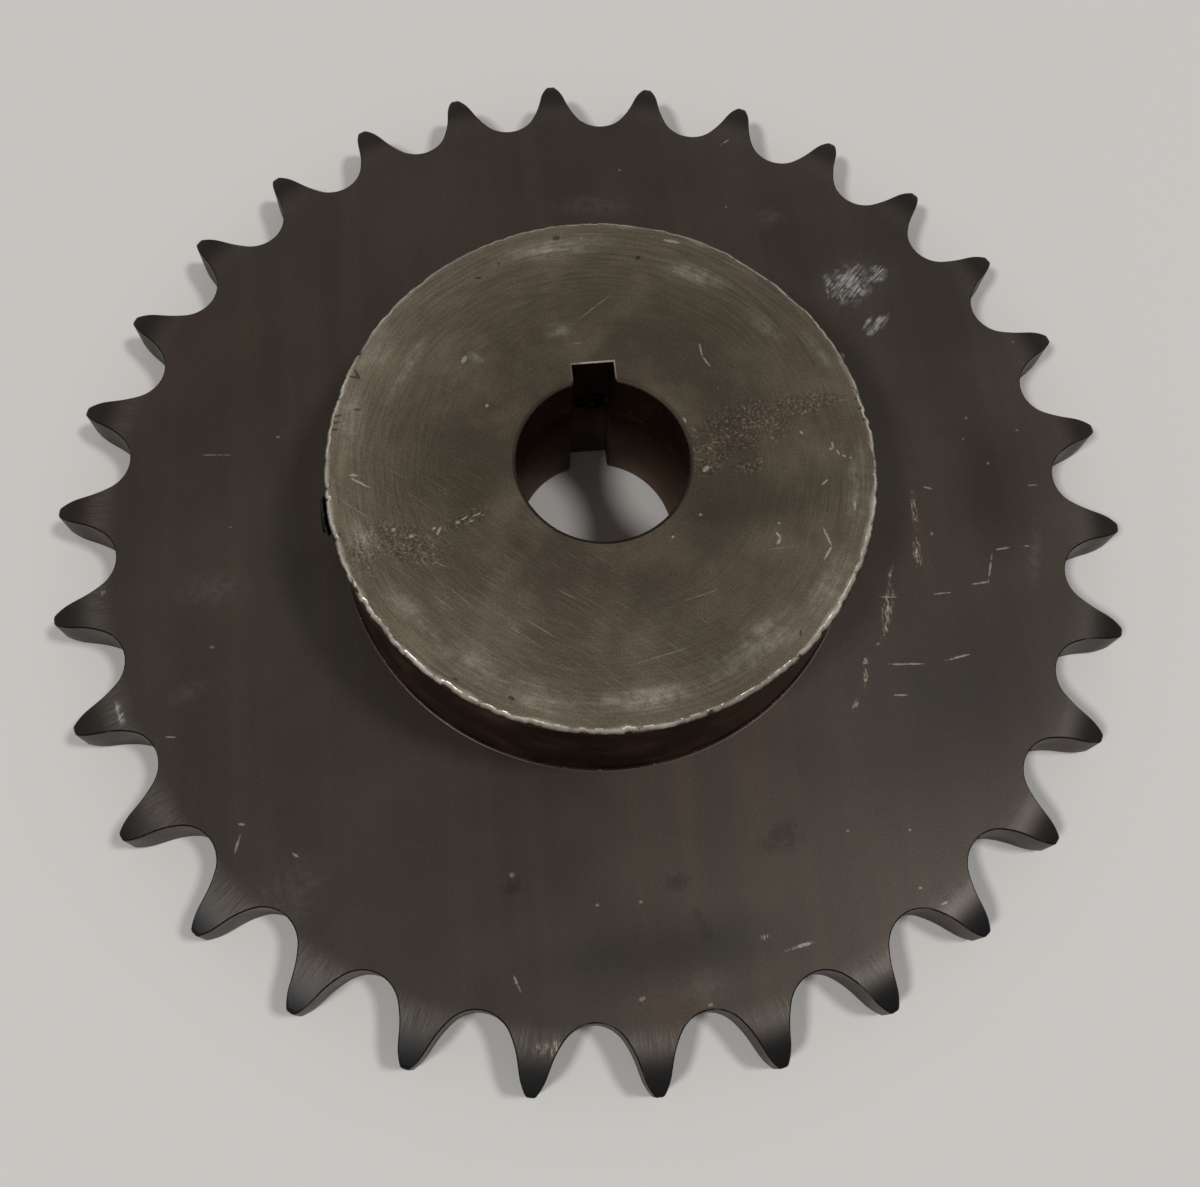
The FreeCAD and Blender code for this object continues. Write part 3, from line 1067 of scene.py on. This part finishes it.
def side_steel():
    """The hub's turned side: dark and reddish under old oil, with fine rings, painted shade in its corner and
    pale dirt there.

    The rings are drawn at 0.5 mm, coarser than the real feed, so that they show."""
    made, tree = surface("turned_hub_side_steel")
    place, outward, _ = axis_space(tree)
    height = add(tree, "SeparateXYZ", {"Vector": place}).node.outputs["Z"]
    rings = streaks(tree, outward, height, 3.0, 0.5 * mm)
    cloud, light = patches(tree, place, 11 * mm, 0.42, 0.68, high=0.8)
    # Painted shade: the side is darkened just above the plate, where pale dirt dots also lie
    above_plate = {"Value": height, "From Min": plate_thickness + 0.9 * mm, "From Max": plate_thickness}
    corner_shade_and_dirt = add(tree, "MapRange", {**above_plate, "To Max": 0.7})
    _, dots = patches(tree, place, 0.8 * mm, 0.6, 0.72, high=corner_shade_and_dirt, detail=2.0)
    tone = layered(tree, "#43352E", [(light, "#67534A"), (corner_shade_and_dirt, "#231D1A"), (dots, "#857A69")])
    tone = varied(tree, tone, rings, 0.15)
    dull = (cloud, 0.32, 0.44)
    return finish(made, tone, dull, metallic=0.85, gloss=0.15, relief=(rings, 0.01 * mm), glance="#B0A396")


def bored_steel():
    """The bore's wall and keyway: dark oiled steel with the fine rings of the boring tool, drawn at 0.6 mm."""
    made, tree = surface("bored_steel")
    place, outward, _ = axis_space(tree)
    height = add(tree, "SeparateXYZ", {"Vector": place}).node.outputs["Z"]
    rings = streaks(tree, outward, height, 2.0, 0.6 * mm)
    cloud, light = patches(tree, place, 9 * mm, 0.5, 0.7, high=0.6)
    # Painted reflection of the lit floor: the lower half of the wall is made lighter brown
    wear_and_painted_light = add(tree, "MapRange", {"Value": height, "From Min": 32 * mm, "From Max": 4 * mm, "To Max": 0.8})
    _, dust = patches(tree, place, 0.6 * mm, 0.64, 0.72, high=0.5, detail=2.0)
    # The bevelled edge at the bore's front is rubbed bare
    bevel_low = through_length - bore_front_bevel
    on_bevel = {"Value": height, "From Min": bevel_low, "From Max": bevel_low + bore_front_bevel / 2}
    end = add(tree, "MapRange", {**on_bevel, "To Max": 0.7})
    coats = [(light, "#5A493D"), (wear_and_painted_light, "#80736A"), (dust, "#8E8272"), (end, "#6A6356")]
    tone = varied(tree, layered(tree, "#3D3027", coats), rings, 0.2)
    dull = (cloud, 0.34, 0.48)
    return finish(made, tone, dull, metallic=0.9, gloss=0.15, relief=(rings, 0.01 * mm), glance="#A2968C")


def flank_steel():
    """Cut flanks of the teeth: brown-grey, with the fine upright lines that the hob leaves.

    The lines are drawn 0.7 mm apart round the gap, coarser than the real cut, so that they show."""
    made, tree = surface("hobbed_flank_steel")
    place = add(tree, "TexCoord").node.outputs["Object"]
    upright = drawn_out(tree, place, (0.7 * mm, 0.7 * mm, 12 * mm))
    lines = add(tree, "TexNoise", {"Vector": upright, "Scale": 1.0, "Detail": 3.0})
    cloud, light = patches(tree, place, 8 * mm, 0.4, 0.7, high=0.8)
    tone = varied(tree, layered(tree, "#251D19", [(light, "#3D312A")]), lines, 0.2)
    dull = (cloud, 0.34, 0.46)
    return finish(made, tone, dull, metallic=0.4, gloss=0.25, relief=(lines, 0.02 * mm), glance="#D0C6BE")


def edge_steel():
    """Broken edges of the teeth: a thin line, near black, worn grey in places."""
    made, tree = surface("black_tooth_edge_steel")
    place = add(tree, "TexCoord").node.outputs["Object"]
    cloud, wear_and_painted_light = patches(tree, place, 5 * mm, 0.56, 0.7, high=0.5)
    tone = layered(tree, "#0B0A0A", [(wear_and_painted_light, "#5E574E")])
    return finish(made, tone, (cloud, 0.4, 0.55), metallic=0.3, gloss=0.15, relief=(cloud, 0.02 * mm))


def screw_steel():
    """Black oxide on alloy steel: black with an oily gloss, and grey where the thread's crests are rubbed."""
    made, tree = surface("black_oxide_screw_steel")
    place = add(tree, "TexCoord").node.outputs["Object"]
    cloud, wear_and_painted_light = patches(tree, place, 3 * mm, 0.45, 0.6, high=0.8)
    off = add(tree, "VectorMath", {0: place, 1: (0, 0, screw_height)}, operation="SUBTRACT")
    from_axis = []
    for across in ((0, 1, 1), (1, 0, 1)):
        sideways = add(tree, "VectorMath", {0: off, 1: across}, operation="MULTIPLY")
        from_axis.append(add(tree, "VectorMath", {0: sideways}, operation="LENGTH"))
    radius = add(tree, "Math", {0: from_axis[0], 1: from_axis[1]}, operation="MINIMUM")
    at_crest = {"From Min": thread_crest - 0.35 * mm, "From Max": thread_crest - 0.05 * mm}
    bare = add(tree, "MapRange", {"Value": radius, **at_crest, "To Max": wear_and_painted_light})
    light = add(tree, "MapRange", {"Value": cloud, "From Min": 0.4, "From Max": 0.7, "To Max": 0.7})
    tone = layered(tree, "#141416", [(light, "#222226"), (bare, "#6C6A68")])
    return finish(made, tone, (cloud, 0.25, 0.4), metallic=0.6, gloss=0.5, relief=(cloud, 0.02 * mm))


def dress_wheel(wheel):
    """Gives each zone of the wheel its own finish."""
    steels = {
        "plate": plate_steel(),
        "face": hub_face_steel(),
        "rim": worn_rim_steel(),
        "side": side_steel(),
        "bore": bored_steel(),
        "flank": flank_steel(),
        "edge": edge_steel(),
    }
    wheel.data.materials.clear()
    for steel in steels.values():
        wheel.data.materials.append(steel)
    names = list(steels)

    def zone(face):
        centre = face.center
        radius = centre.xy.length
        # 1 where a face lies flat, 0 where it stands upright
        flat = abs(face.normal.z)
        if radius > plate_inner - same_point:
            if flat > tooth_face_flat or radius < teeth_from:
                return "plate"
            return "edge" if flat > upright_flat else "flank"
        if flat < wall_flat and radius > hub_radius / 2:
            off_axis = max(min(abs(centre.x), abs(centre.y)), abs(centre.z - screw_height))
            in_tapped_hole = off_axis < thread_crest and radius < hub_radius - mm
            return "bore" if in_tapped_hole else "side"
        if radius > hub_radius - rim_depth and flat < rim_flat:
            return "rim" if centre.z > through_length - rim_depth else "side"
        if flat > level_flat:
            return "face" if centre.z > through_length / 2 else "plate"
        at_key = abs(centre.x) < key_width / 2 + key_edge_bevel and centre.y > keyway_from
        return "rim" if at_key and flat > upright_flat else "bore"

    for face in wheel.data.polygons:
        face.material_index = names.index(zone(face))


def smooth(piece):
    """Shades round shapes smoothly and keeps flats flat."""
    piece.data.shade_smooth()
    piece.data.set_sharp_from_angle(angle=shaded_angle)
    even = piece.modifiers.new("even_normals", "WEIGHTED_NORMAL")
    even.keep_sharp = True


# Stage, light and camera


def stage():
    """A pale floor, and an even room round it."""
    mesh = bmesh.new()
    # 20 m out, where it meets the backdrop
    bmesh.ops.create_grid(mesh, x_segments=1, y_segments=1, size=20)
    floor = piece_from(mesh, "floor")
    made, tree = surface("pale_floor")
    shader = tree.nodes["Principled BSDF"]
    shader.inputs["Base Color"].default_value = colour("#C9C6C2")
    shader.inputs["Roughness"].default_value = 0.7
    floor.data.materials.append(made)

    world = bpy.context.scene.world or bpy.data.worlds.new("soft_room")
    bpy.context.scene.world = world
    world.use_nodes = True
    tree = world.node_tree
    background = tree.nodes["Background"]
    # Dim as a light, and as pale as the floor where it is seen past the floor's end
    seen = add(tree, "LightPath")
    light = (0.25, 0.25, 0.25, 1)
    shade = add(tree, "Mix", {"Factor": seen, "A": light, "B": colour("#C8C5C0")}, data_type="RGBA")
    tree.links.new(shade, background.inputs["Color"])
    background.inputs["Strength"].default_value = 1.0


def lamp(name, azimuth, tilt, spread, strength):
    """A soft, far lamp: its azimuth from +X, its tilt from upright and its breadth in degrees."""
    data = bpy.data.lights.new(name, "SUN")
    data.angle = math.radians(spread)
    data.energy = strength
    made = bpy.data.objects.new(name, data)
    made.rotation_euler = (0, math.radians(tilt), math.radians(azimuth))
    bpy.context.scene.collection.objects.link(made)


def camera():
    """The photograph's view: from above and in front, about 30 cm over the hub."""
    photo_width = 1200
    focal_pixels = 1449.5
    centre_x = 620.9
    centre_y = 445.6
    photo_middle_y = 593.5
    place = Vector((-23.44, -121.46, 341.64)) * mm
    aim = Vector((8.97, 24.28, 0)) * mm
    roll = math.radians(6.925)
    data = bpy.data.cameras.new("camera")
    data.sensor_width = 36
    data.lens = focal_pixels / photo_width * data.sensor_width
    data.shift_x = (photo_width / 2 - centre_x) / photo_width
    data.shift_y = (centre_y - photo_middle_y) / photo_width
    data.clip_start = 10 * mm
    made = bpy.data.objects.new("camera", data)
    made.location = place
    made.rotation_mode = "QUATERNION"
    facing = (aim - place).to_track_quat("-Z", "Y")
    made.rotation_quaternion = (facing.to_matrix().to_4x4() @ Matrix.Rotation(roll, 4, "Z")).to_quaternion()
    bpy.context.scene.collection.objects.link(made)
    bpy.context.scene.camera = made


wheel = toothed_wheel()
dress_wheel(wheel)
smooth(wheel)
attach(wheel, "root")
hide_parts("sprocket")

oxide = screw_steel()
for node, direction in (("set_screw_keyway", 90), ("set_screw_side", 180)):
    screw = set_screw(node + "_threaded", math.radians(direction))
    screw.data.materials.append(oxide)
    smooth(screw)
    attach(screw, "root")
    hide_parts(node)

stage()
lamp("left_lamp", azimuth=-150, tilt=30.5, spread=8.4, strength=1.42)
lamp("right_lamp", azimuth=-8, tilt=24.5, spread=8.4, strength=1.17)
camera()

bpy.context.scene.view_settings.view_transform = "Standard"
